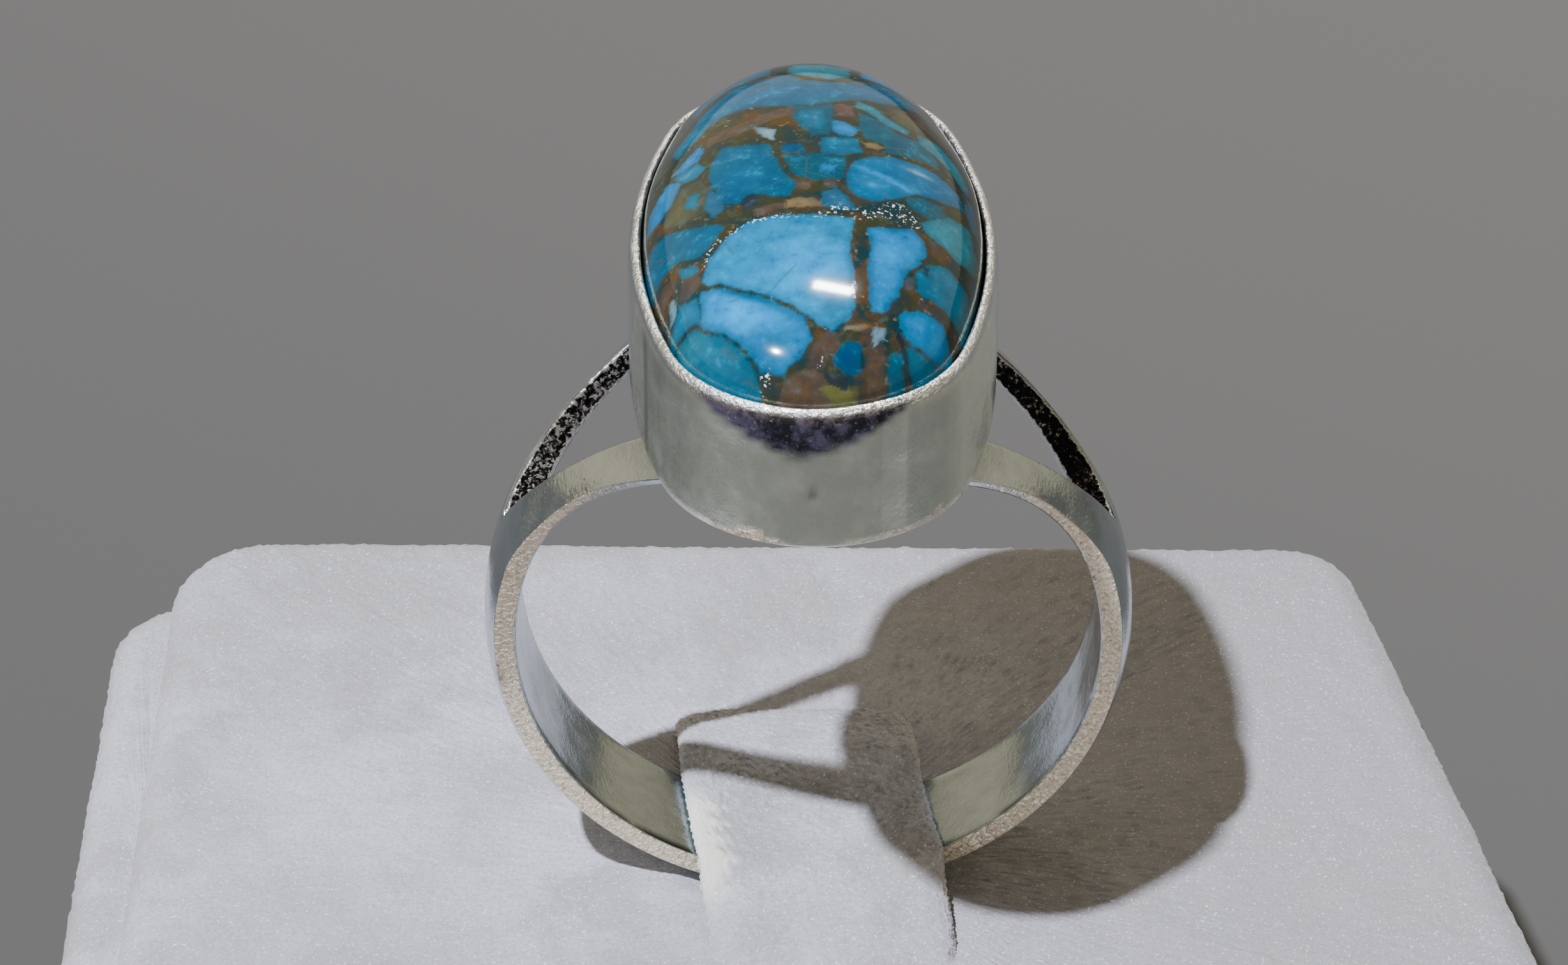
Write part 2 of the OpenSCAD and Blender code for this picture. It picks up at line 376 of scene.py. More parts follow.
def shank():
    """The band and its four arms. Each half of a section, from the middle or the split to the edge, is a
    closed line of small quarter rounds joined by the domed outer line and the flat inner one, and it is
    carried round the finger circle by angle. Front and back halves share the middle below the splits."""
    arm_rows, band_rows, arm_end = 62, 220, 9.0
    right = np.linspace(arm_end, SPLIT_START, arm_rows)
    low = np.linspace(SPLIT_START, 360 - SPLIT_START, band_rows)[1:-1]
    angle = np.concatenate([right, low, np.linspace(360 - SPLIT_START, 360 - arm_end, arm_rows)])
    turn = np.where(angle > 180, 360 - angle, angle)[:, None]
    half, split = half_width(turn), split_at(turn)
    # The arms reach no higher than the middle of the plate
    plate = (BEZEL_Z + PLATE_T / 2) / np.cos(np.radians(np.minimum(turn, 60)))

    def outer(y):
        r = FINGER_R + band_t(turn, y)
        return np.where(turn < 40, np.minimum(r, plate), r)

    def steps(count):
        return np.linspace(0, 1, count)[None, :]

    edge_r = 0.07
    split_r = np.minimum(edge_r, split / 2)
    quarter = np.linspace(0, math.pi / 2, 4)[None, :]
    sin, cos = np.sin(quarter), np.cos(quarter)
    down = steps(11)
    # Lines of the section, as places across and distances from the finger's middle
    out_y = (split + split_r) + (half - edge_r - split - split_r) * steps(15)
    r_edge, r_split = outer(half - edge_r), outer(split + split_r)
    corner_out = (half - edge_r + edge_r * sin, r_edge - edge_r + edge_r * cos)
    edge = (half + 0 * down, r_edge - edge_r + (FINGER_R + edge_r - r_edge + edge_r) * down)
    corner_in = (half - edge_r + edge_r * cos, FINGER_R + edge_r - edge_r * sin)
    in_y = (half - edge_r) + (split + split_r - half + edge_r) * steps(8)
    wall_in = (split + split_r - split_r * sin, FINGER_R + split_r - split_r * cos)
    wall = (split + 0 * down, FINGER_R + split_r + (r_split - FINGER_R - 2 * split_r) * down)
    wall_out = (split + split_r - split_r * cos, r_split - split_r + split_r * sin)
    skin = [(out_y, outer(out_y)), corner_out, edge, corner_in, (in_y, FINGER_R + 0 * in_y)]
    split_wall = [wall_in, wall, wall_out]

    def around(side, line, rows=slice(None)):
        y, r = np.broadcast_arrays(*line)
        t = np.radians(angle)[:, None]
        return np.stack([r * np.sin(t), side * y, r * np.cos(t)], -1)[rows]

    grids = []
    for side in (-1, 1):
        grids += [around(side, line) for line in skin]
        for rows in (slice(0, arm_rows), slice(len(angle) - arm_rows, len(angle))):
            grids += [around(side, line, rows) for line in split_wall]
        for row in (0, len(angle) - 1):
            end = [around(side, line, slice(row, row + 1))[0] for line in skin + split_wall]
            grids.append(capped(np.concatenate(end)))
    return grids


def oval(t, inset):
    """Distance from the middle to the bezel's oval of four tangent arcs, drawn in by an inset, in the
    direction t."""
    end_y = BEZEL_HALF_L - BEZEL_END_R
    side_r = (BEZEL_HALF_W**2 + end_y**2 - BEZEL_END_R**2) / (2 * (BEZEL_HALF_W - BEZEL_END_R))
    side_x = side_r - BEZEL_HALF_W
    c, s = np.abs(np.cos(t)), np.abs(np.sin(t))
    along_side = -c * side_x + np.sqrt((c * side_x) ** 2 - side_x**2 + (side_r - inset) ** 2)
    along_end = s * end_y + np.sqrt(np.maximum((s * end_y) ** 2 - end_y**2 + (BEZEL_END_R - inset) ** 2, 0))
    tangent_y = (side_r - inset) * end_y / math.hypot(side_x, end_y)
    return np.where(along_side * s <= tangent_y, along_side, along_end)


# The bezel's rim, burnished inward: inset, and how far each point lies below the top
RIM = [
    (0.01, 0.47), (0.035, 0.33), (0.075, 0.21), (0.125, 0.11), (0.18, 0.04), (0.235, 0.005), (0.29, 0.0),
    (0.335, 0.03), (0.365, 0.09), (0.375, 0.19), (0.36, 0.42)]


def bezel():
    """The oval cup. Its profile runs from the middle of the plate's underside out to the wall, up it, over
    the rim, down the inside and back to the middle, and it is carried round the oval. The wall and the rim's
    height are slightly uneven, as hand-worked sheet is."""
    # Share of the oval, inset and height of each point of the profile
    profile = np.array([
        (0, 0, 0), (0.5, 0, 0), (0.9, 0, 0), (1, 0.06, 0), (1, 0.02, 0.02), (1, 0, 0.07),
        *[(1, 0, z) for z in np.linspace(0.3, 3.8, 15)],
        *[(1, inset, BEZEL_H - drop) for inset, drop in RIM],
        (1, BEZEL_T, 3.0), (1, BEZEL_T, PLATE_T + 0.1), (1, BEZEL_T + 0.01, PLATE_T), (0.5, 0.3, PLATE_T),
        (0, 0, PLATE_T)])
    share, inset, z = profile[:, 0:1], profile[:, 1:2], profile[:, 2:3]
    t = np.linspace(0, 2 * math.pi, 481)[None, :-1]
    t = np.concatenate([t, t[:, :1]], 1)
    plain_x, plain_y = BEZEL_HALF_L * np.cos(t), BEZEL_HALF_L * np.sin(t)
    uneven = 0.035 * smooth(z / 0.8) * smooth((5.4 - z) / 1.6) * wave(plain_x, plain_y, 1.5 * z, 9.0, 3)
    r = share * (oval(t, inset) + np.where(inset < 0.3, uneven, 0) * (share >= 1))
    height = z + 0.03 * wave(plain_x, plain_y, 0 * t, 7.0, 5) * (z > 4)
    return [np.stack([r * np.cos(t), r * np.sin(t), BEZEL_Z + height + 0 * r], -1)]


# Places on the silver that are darker than the rest; those at about -4.4 across on the front wall draw a
# painted dark reflection line. x, y and z of the middle, reach in millimetres, and strength
DARK_SPOTS_AND_REFLECTIONS = [
    (-4.35, -5.9, 12.2, 0.5, 0.35),
    (0.1, -9.0, 10.5, 0.14, 0.8),
    (5.6, -5.0, 7.35, 0.30, 1.0),
    (6.3, -4.5, 6.9, 0.16, 0.6),
    (-9.2, -1.8, -1.3, 0.22, 0.5),
    *[(-4.42, -5.75, height, 0.17, 0.95) for height in (11.5, 11.2, 10.9)],
    (-4.42, -5.75, 10.6, 0.15, 0.9),
]

# Brightness of the polish along the front of the bezel's wall, with its light and dark reflections painted in
# as upright stripes, at places across in millimetres
WALL_PAINTED_REFLECTIONS = [
    (-5.4, 0.76), (-4.9, 0.78), (-4.70, 0.68), (-4.60, 0.15), (-4.48, 0.56), (-3.6, 0.70), (-2.6, 1.1),
    (-1.4, 1.25), (-0.4, 1.2), (0.9, 1.1), (2.0, 0.90), (2.2, 1.5), (2.55, 1.5), (2.75, 0.74), (3.8, 0.70),
    (4.5, 1.1), (5.4, 1.4)]
# Painted dark reflection under the front rim, shaped as a lens: middle and half width across, and greatest
# depth
REFLECTION_LENS = (-0.22, 3.4, 1.5)


def paint_band(obj, front, up):
    """Stores where the silver is black, pitted, bright or stained. Front is 1 on the bezel's front wall, and
    up is the height over the bezel's foot."""
    x, y, z = places(obj)
    r = np.hypot(x, z)
    turn = np.degrees(np.abs(np.arctan2(x, z)))
    half, split = half_width(turn), split_at(turn)
    on_band = (z < BEZEL_Z - 0.02) & (r > FINGER_R + 0.04)
    edge_face = on_band & (np.abs(y) > half - 0.03) & (r < FINGER_R + band_t(turn, half) + 0.02)
    rim = (up > BEZEL_H - 0.13) & (np.hypot(x - BEZEL_OFF, y) > 4)

    # Black in the split walls, lighter on the left
    wall = on_band & (np.abs(np.abs(y) - split) < 0.01) & (turn < SPLIT_START)
    across = (r - FINGER_R) / band_t(turn, split)
    middle = smooth((across - 0.04) / 0.12) * smooth((0.93 - across) / 0.10)
    paint(obj, "dark", wall * middle * np.where(x < 0, 0.80, 1.0))

    # Matt edge faces, two filed places at the foot of the wall and a slightly matt rim
    filed = front * smooth((0.30 + 0.14 * wave(x, y, z, 1.3, 31) - up) / 0.06)
    filed = filed * np.maximum(
        smooth((1.1 - np.abs(x + 1.7)) / 0.3), 0.6 * smooth((1.6 - np.abs(x - 2.5)) / 0.4))
    pitted = edge_face * smooth((turn - 25) / 30)
    paint(obj, "pitted", np.maximum(np.maximum(pitted, 0.9 * filed), 0.45 * rim))

    # Brightness of the bezel, the arms and the inside, then of the edge faces and the rim. Painted shade
    # makes the arms darker towards the right, the inside darker, most of all on the left, and the upper left
    # edge faces darker;
    # the rim is brighter as a painted highlight
    across_wall, reflection_tones = np.array(WALL_PAINTED_REFLECTIONS).T
    plain = np.where(up > -0.01, 0.86, 0.60 - 0.24 * smooth(x / 3))
    below_rim = smooth((BEZEL_H - 0.3 - up) / 0.3)
    # The front wall below the rim takes its painted reflections from the table above
    tone = plain + front * (np.interp(x, across_wall, reflection_tones) - plain) * below_rim
    inside = smooth((FINGER_R + 0.03 - r) / 0.02) * (z < BEZEL_Z - 0.02)
    tone = tone - inside * np.where(x < 0, 0.40, 0.07)
    # Painted shade on the upper left edge faces
    edge_painted_shade = 1 - 0.55 * (x < 0) * smooth((z + 3) / 3)
    paint(obj, "tone", np.where(edge_face, edge_painted_shade, np.where(rim, 1.1, tone)))

    # Single dark places, among them a painted dark reflection line, and a dull line along the lower front
    # edge of the inside
    brink = (np.abs(r - FINGER_R) < 0.03) & (y < 0.075 - half) & (z < -2)
    stain = 0.75 * brink * smooth(0.5 + 1.2 * wave(x, y, z, 3.0, 33))
    for cx, cy, cz, reach, strength in DARK_SPOTS_AND_REFLECTIONS:
        d2 = (x - cx) ** 2 + (y - cy) ** 2 + (z - cz) ** 2
        stain = np.maximum(stain, strength * np.exp(-d2 / reach**2))
    paint(obj, "stain", stain)


def make_silver():
    """The shank, bezel and plate as one piece of silver, with the attributes that its material reads."""
    obj = build("silver_mounting_shown", shank() + on_shank(bezel()), silver_material(), 60)
    x, y, z = places(obj)
    up, out_x = z - BEZEL_Z, x - BEZEL_OFF
    on_wall = (up > -0.01) & (
        np.hypot(out_x, y) > oval(np.arctan2(y, out_x) - math.radians(BEZEL_TURN), 0.25))
    front = on_wall * smooth((-1.5 - y) / 2)
    paint_band(obj, front, up)
    # A painted dark purple reflection on the front wall, from the rim down to the lens's depth
    middle, half, depth = REFLECTION_LENS
    reach = depth * np.maximum(0, 1 - (np.abs(x - middle) / half) ** 1.35) + 0.05 * wave(x, y, z, 1.6, 32)
    under = BEZEL_H - 0.10 - up
    paint(obj, "bloom", 0.95 * front * smooth((reach - under) / 0.30) * smooth(under / 0.08))
    paint(obj, "cast", front * (up < BEZEL_H - 0.3))
    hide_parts("silver_mounting")


# Stone

# Colours of the stone's pieces, linear
TONES = {
    "bright": (0, 0.285, 0.56),
    "pale": (0, 0.41, 0.92),
    "blue": (0, 0.083, 0.150),
    "sky": (0, 0.205, 0.47),
    "azure": (0, 0.132, 0.28),
    "deep": (0, 0.04, 0.13),
    "teal": (0, 0.135, 0.22),
    "green": (0.015, 0.19, 0.22),
    "dusk": (0.006, 0.065, 0.085),
    "haze": (0.03, 0.11, 0.18),
    "brown": (0.06, 0.034, 0.013),
    "rust": (0.085, 0.042, 0.012),
    "red": (0.10, 0.03, 0.016),
    "gold": (0.30, 0.17, 0.03),
    "olive": (0.06, 0.06, 0.012),
    "moss": (0.13, 0.12, 0.004),
    "black": (0.003, 0.005, 0.007),
    "white": (0.30, 0.43, 0.46),
}

# The turquoise pieces in the brown matrix, seen from above: tone, then corners in millimetres across and
# along the stone. A later piece lies over an earlier one.
PIECES = [
    # Back of the stone, out of the photo's sight
    ("blue", [(-3.4, 4.6), (-2.3, 5.3), (-1.2, 5.6), (-1.1, 7.3), (-2.6, 6.9), (-3.4, 5.8)]),
    ("teal", [(-0.9, 6.9), (0.2, 7), (1.3, 6.9), (1.4, 8.2), (0, 8.5), (-1.3, 8.2)]),
    ("sky", [(1.5, 5.6), (2.9, 5.2), (3.4, 5.5), (2.6, 7.2), (1.6, 7.8)]),
    # Top
    ("green", [(-0.65, 5.7), (-0.3, 5.3), (0.6, 4.95), (1.1, 5.3), (1.2, 6.6), (-0.5, 6.7)]),
    ("blue", [(-3.5, 2.1), (-2.9, 2.75), (-2.3, 3.05), (-1.5, 3.05), (-0.76, 2.98), (0, 2.95), (0.7, 3.2),
        (1.35, 3.5), (2.15, 3.6), (2.9, 4), (3.2, 4.4), (2.6, 5), (2.1, 5.15), (1.3, 4.95), (0.6, 4.62),
        (-0.3, 4.95), (-0.75, 5.4), (-1.2, 5.35), (-2.2, 5), (-3.2, 3.9)]),
    ("teal", [(-3.75, 1.6), (-3.3, 2), (-2.8, 2.75), (-2.9, 3.3), (-3.5, 3), (-3.9, 2.2)]),
    ("dusk", [(-0.55, 2.85), (0, 2.8), (0.6, 3.05), (0.68, 2.3), (0.55, 1.2), (0.1, 1.1), (-0.3, 1.6),
        (-0.5, 2.2)]),
    ("teal", [(-0.35, 2.6), (0.4, 2.7), (0.5, 1.9), (0.35, 1.4), (-0.2, 1.6)]),
    ("red", [(0.72, 3), (1.2, 3.05), (1.25, 2.3), (0.8, 2.25)]),
    ("dusk", [(1.45, 2.6), (1.9, 2.3), (2.5, 1.75), (3.1, 1.6), (3.5, 1.3), (3.7, 0.6), (3, 0.55), (2.2, 0.5),
        (2.1, 1), (1.6, 1.1), (1.4, 1.6)]),
    ("green", [(1.35, 3.4), (1.75, 3.15), (2.2, 2.6), (2.8, 2.2), (2.75, 1.85), (2.2, 2.1), (1.8, 2.6),
        (1.3, 3)]),
    ("green", [(3.05, 2.15), (3.6, 2.2), (4.15, 1.7), (4.55, 0.9), (4.5, 0.35), (4.1, 0.75), (3.6, 1.3),
        (3.1, 1.7)]),
    ("rust", [(2.4, 3.45), (3.1, 3.6), (3.6, 3.1), (4, 2.5), (3.6, 2.45), (3.1, 2.8), (2.5, 2.95)]),
    ("olive", [(2.5, 3), (3.1, 2.85), (3.5, 2.4), (3, 2.35), (2.4, 2.6)]),
    ("rust", [(-2.9, 1.75), (-2.1, 2.15), (-1.5, 2.4), (-0.9, 2.75), (-0.35, 2.8), (-0.45, 2.4), (-1, 2.15),
        (-1.5, 1.85), (-2.1, 1.5), (-2.9, 1.35)]),
    ("sky", [(0.62, 1.95), (1.1, 1.85), (1.35, 1.5), (1.2, 1.1), (0.85, 1.1), (0.62, 1.45)]),
    ("white", [(-1.58, 1.75), (-1.02, 1.5), (-1, 0.85), (-1.3, 1.15)]),
    ("teal", [(0.35, 0.95), (1.4, 0.95), (1.45, 0.25), (0.9, 0.05), (0.3, 0.15)]),
    ("deep", [(-0.85, 0.6), (-0.2, 0.6), (-0.2, 0.1), (-0.8, 0.1)]),
    ("gold", [(1.55, 0.75), (1.85, 0.9), (2.15, 0.75), (1.9, 0.55)]),
    ("dusk", [(-0.75, -0.05), (0.2, 0.05), (1, -0.05), (1, -0.6), (0.9, -1.2), (0.1, -1.3), (-0.4, -1.1)]),
    ("teal", [(-0.55, -0.1), (-0.2, -0.12), (-0.2, -0.4), (-0.55, -0.35)]),
    ("sky", [(0.35, -0.5), (0.8, -0.55), (0.75, -0.9), (0.35, -0.88)]),
    # Left and right of the middle
    ("blue", [(-2.78, 0.3), (-2.5, 0.95), (-1.15, 0.65), (-1, -0.05), (-0.75, -0.85), (-0.4, -1.55),
        (-0.5, -2), (-1, -2.05), (-1.4, -1.85), (-2.05, -2.15), (-2.35, -2), (-2.8, -0.8)]),
    ("azure", [(1.05, -0.95), (1.25, -0.35), (1.7, 0.05), (2.3, 0.25), (2.95, 0.25), (3.6, 0.25),
        (4.15, -0.1), (4.35, -0.7), (3.9, -1), (3, -1.25), (2.5, -1.75), (1.8, -2.15), (1.25, -1.95),
        (1.02, -1.5)]),
    ("sky", [(-3.95, 0.75), (-3.1, 1.6), (-3.05, 1.1), (-3.2, 0.75), (-3.6, 0.5)]),
    ("teal", [(-3.85, 0.5), (-3.2, 0.6), (-2.95, 0.2), (-3.2, -0.2), (-3.6, 0)]),
    ("sky", [(-4.5, -0.1), (-4.05, 0.45), (-3.68, 0), (-3.8, -0.7), (-4.25, -1.1), (-4.65, -0.9)]),
    ("olive", [(-3.7, -0.3), (-3.1, -0.4), (-2.85, -1.2), (-2.9, -2), (-3.6, -2.1), (-4.1, -1.6),
        (-4, -0.9)]),
    ("teal", [(-3.4, -0.9), (-3.1, -1), (-3.15, -1.6), (-3.5, -1.5)]),
    ("haze", [(-2.8, -1.1), (-2.5, -1.5), (-2.4, -2.2), (-2.7, -2.4), (-2.95, -1.9)]),
    ("haze", [(0.35, -1.9), (0.75, -1.75), (1.15, -2.2), (1.3, -2.7), (0.75, -2.7), (0.35, -2.5)]),
    ("dusk", [(2.7, -1.65), (3.1, -1.35), (3.7, -1.35), (3.9, -1.75), (3.3, -2.2), (2.9, -2.1)]),
    ("green", [(3.1, -2.6), (3.4, -2.2), (4, -1.6), (4.5, -1.4), (4.75, -2.2), (4.6, -3), (4.1, -3.3),
        (3.4, -3)]),
    ("haze", [(4.45, 0.2), (4.7, 0), (4.85, -1.2), (4.6, -1.2), (4.45, -0.6)]),
    # Bottom left
    ("blue", [(-4.75, -1.9), (-4.1, -1.9), (-3.7, -2.3), (-2.95, -2.65), (-2.35, -3), (-2.8, -3.6),
        (-3.05, -3.85), (-3.6, -3.55), (-4.3, -3.45), (-4.75, -3)]),
    ("teal", [(-3.65, -3.85), (-3.15, -4.1), (-3.1, -4.45), (-3.5, -4.3)]),
    ("rust", [(-4.2, -3.8), (-3.8, -3.95), (-3.72, -4.4), (-4.1, -4.5)]),
    ("rust", [(-3.55, -4.4), (-3.15, -4.45), (-3, -4.9), (-3.35, -5.15), (-3.55, -4.85)]),
    ("teal", [(-4.45, -4), (-4.15, -4.6), (-4.1, -5.4), (-4.3, -5.3), (-4.55, -4.6)]),
    ("white", [(-3.85, -4.6), (-3.7, -4.7), (-3.72, -5.3), (-3.85, -5.2)]),
    ("teal", [(-3.6, -5.1), (-3.1, -5.3), (-3.05, -6.1), (-3.9, -5.75), (-3.8, -5.4)]),
    # The large bright pieces
    ("bright", [(-2.95, -4.85), (-2.8, -4.2), (-2.25, -3.5), (-1.7, -3.1), (-1, -2.98), (0.3, -2.95),
        (1.25, -3.1), (1.1, -4.2), (1.2, -5.2), (1.25, -6.2), (1.1, -6.75), (0.65, -7.12), (0.3, -7),
        (-0.1, -6.67), (-0.5, -6.35), (-1, -6.08), (-1.6, -5.75), (-2.3, -5.35), (-2.8, -5.05)]),
    ("sky", [(1.65, -3.4), (2.2, -3.25), (2.9, -3.05), (3.15, -3.3), (3.22, -3.9), (3, -4.5), (2.6, -5),
        (2.45, -5.8), (2, -6.4), (1.7, -6.4), (1.6, -5.2), (1.7, -4.3)]),
    ("sky", [(-2.98, -5.2), (-2.3, -5.5), (-1.65, -5.88), (-1.05, -6.22), (-0.55, -6.52), (-0.1, -6.85),
        (0.05, -7.3), (-0.25, -7.8), (-0.7, -8.1), (-1.3, -7.95), (-1.65, -7.45), (-2.05, -7.05),
        (-3.02, -6.15)]),
    ("teal", [(-3.95, -5.85), (-3.1, -6.25), (-2.1, -7.15), (-1.72, -7.55), (-1.4, -8.1), (-1.15, -8.6),
        (-2.5, -8.3), (-3.9, -7)]),
    # Front and bottom right
    ("rust", [(0.1, -7.5), (0.5, -7.15), (0.9, -7.25), (0.55, -7.75), (0.35, -8.1), (0, -8)]),
    ("rust", [(-0.7, -8.2), (0.1, -8.05), (0.5, -8.3), (1.5, -8.4), (1.4, -8.7), (-0.9, -8.7)]),
    ("deep", [(0.75, -7.7), (1, -7.45), (1.38, -7.4), (1.42, -8), (1.1, -8.1), (0.7, -8)]),
    ("moss", [(0.2, -8.42), (0.6, -8.28), (1.3, -8.3), (1.4, -8.42), (0.8, -8.55)]),
    ("rust", [(1.55, -7.1), (2, -7.15), (2.12, -7.6), (2, -8.2), (1.6, -8.3)]),
    ("white", [(1.75, -6.95), (2.1, -6.9), (2.05, -7.15), (1.75, -7.4)]),
    ("blue", [(2.15, -7.95), (2.3, -7.35), (2.55, -7.3), (2.6, -8), (2.1, -8.45)]),
    ("sky", [(2.5, -6.35), (3, -6), (3.7, -5.95), (3.95, -6.3), (3.5, -6.85), (2.8, -6.95), (2.5, -6.7)]),
    ("teal", [(2.62, -7.1), (3.4, -6.95), (3.95, -6.45), (4.05, -7), (3, -7.95)]),
    ("teal", [(2.95, -4.8), (3.3, -4.25), (3.9, -3.85), (4.4, -4), (4.65, -4.6), (4.3, -5.5), (3.9, -5.45),
        (3, -5.4)]),
    ("dusk", [(4.5, -3.4), (4.8, -3.2), (4.7, -4.4), (4.55, -4.2)]),
    ("rust", [(3.35, -3.2), (3.6, -3.15), (3.65, -3.5), (3.4, -3.6)]),
    ("rust", [(2.6, -5.1), (2.85, -5.05), (2.9, -5.4), (2.65, -5.45)]),
    ("brown", [(3, -5.62), (3.85, -5.6), (3.9, -5.8), (3, -5.82)]),
    ("black", [(-1.88, -1.95), (-1.68, -1.75), (-1.38, -1.95), (-1.45, -2.35), (-1.9, -2.5)]),
    ("black", [(0.45, -8.17), (1.05, -8.2), (1, -8.32), (0.5, -8.32)]),
    ("black", [(3.2, -4.35), (3.36, -4.3), (3.3, -4.68), (3.15, -4.62)]),
    ("black", [(2.32, -6.75), (2.55, -6.9), (2.75, -7.35), (2.6, -7.35), (2.38, -7)]),
    ("gold", [(1, -7), (1.7, -6.88), (1.75, -6.97), (1, -7.08)]),
    ("gold", [(-0.6, -2.25), (0.1, -2.2), (0.35, -2.55), (-0.2, -2.65), (-0.7, -2.55)]),
    ("rust", [(-1.6, -2.55), (-0.7, -2.35), (-0.7, -2.65), (-1.5, -2.85)]),
    ("rust", [(-0.3, -1.45), (0, -1.4), (0, -1.75), (-0.3, -1.75)]),
    ("rust", [(0.4, -1.3), (0.75, -1.3), (0.7, -1.65), (0.4, -1.6)]),
]

# Soft light and dark places inside the pieces: tone, middle across and along, half size across and along,
# turn in degrees and strength
PATCHES = [
    ("pale", -2, -6.3, 1.1, 0.36, -30, 1),
    ("teal", -1.9, -4.3, 0.9, 0.7, 20, 0.35),
    # A pale place painted as the glow round the highlight on the front of the stone
    ("pale", 0.1, -5, 0.9, 0.8, 0, 0.55),
    ("teal", -0.6, -3.3, 1.2, 0.25, 0, 0.3),
    ("blue", -0.9, -7.4, 0.5, 0.5, -30, 0.5),
    ("teal", 0.7, -6.5, 0.5, 0.4, 0, 0.6),
    ("teal", 0.9, -3.6, 0.35, 0.5, 0, 0.5),
    ("pale", 1.9, -0.75, 0.75, 0.12, -22, 0.5),
    ("white", 3.15, -0.15, 0.35, 0.09, -8, 0.8),
    ("pale", 1.75, -1.4, 0.15, 0.1, 0, 0.6),
    ("pale", 2.6, -1.15, 0.5, 0.08, -20, 0.5),
    ("blue", -1.6, -5.98, 1, 0.12, -33, 0.7),
    ("green", -3.5, -6.3, 0.7, 0.4, -30, 0.7),
    ("blue", -1.75, -8, 0.5, 0.4, -50, 0.6),
    ("sky", -1, 4, 1.5, 0.4, 5, 0.25),
    ("sky", 1.6, 4.2, 0.9, 0.3, -10, 0.2),
    ("teal", -2.7, 3.3, 0.7, 0.5, 20, 0.6),
    ("deep", -2.3, -1.7, 0.5, 0.5, 0, 0.4),
    ("sky", -1.9, -0.8, 0.6, 0.45, 10, 0.2),
    ("blue", 3.6, -0.7, 0.6, 0.4, -20, 0.4),
    ("pale", 2.2, -4.3, 0.45, 0.8, 0, 0.45),
    ("sky", 3.2, -6.4, 0.4, 0.25, 0, 0.4),
]

# Places where the matrix is rich in copper: across, along, and half size across and along
COPPER = [
    (-1.6, 2.1, 1.7, 0.75), (3.2, 2.9, 1, 0.8), (1.9, 0.8, 0.5, 0.4), (-0.9, -2.5, 1.4, 0.35),
    (-3.6, -4.3, 0.9, 0.8), (1.4, -4.6, 0.35, 2.6), (0.9, -7.4, 0.9, 0.7), (1.9, -7.4, 0.6, 1),
    (3.4, -5.2, 0.9, 0.5), (3.4, -3.4, 0.6, 0.5), (-4.2, -1.3, 0.6, 0.9), (0.2, -1.5, 0.8, 0.3),
    (0.2, 5.2, 2.2, 0.4), (-3.2, 2.9, 0.6, 1.2),
]

# Lines along which the matrix is pitted, with painted glints on them: half width, then points across and
# along
PAINTED_GLINTS = [
    (0.06, [(-3, -4.35), (-2.75, -3.95), (-2.3, -3.5), (-1.8, -3.15), (-1.1, -3), (-0.2, -2.96),
        (0.9, -2.98)]),
    (0.10, [(-2.9, -4.1), (-2.5, -3.6)]),
    (0.14, [(0.3, -2.95), (0.7, -2.65), (0.9, -2.7)]),
    (0.20, [(1.45, -2.85), (2, -2.6), (2.5, -2.6), (2.9, -2.75)]),
    (0.12, [(2.3, -2.2), (2.65, -2.2), (2.9, -2.45)]),
    (0.10, [(-1.2, -8.25), (-1.2, -8)]),
    (0.07, [(0.35, -8), (0.45, -7.85)]),
]


def piece_distance(x, y, corners):
    """Distance from each point to the outline of one piece, above nought inside it: the least distance to a
    side, with the sign from the count of sides crossed."""
    c = np.array(corners, float)
    best, inside = np.full(x.shape, 1e9), np.zeros(x.shape, bool)
    for p, q in zip(c, np.roll(c, -1, 0)):
        d = q - p
        u = np.clip(((x - p[0]) * d[0] + (y - p[1]) * d[1]) / (d @ d), 0, 1)
        best = np.minimum(best, np.hypot(x - p[0] - u * d[0], y - p[1] - u * d[1]))
        crosses = (p[1] > y) != (q[1] > y)
        inside ^= crosses & (x < p[0] + (y - p[1]) * d[0] / (d[1] if d[1] else 1e-9))
    return np.where(inside, best, -best)


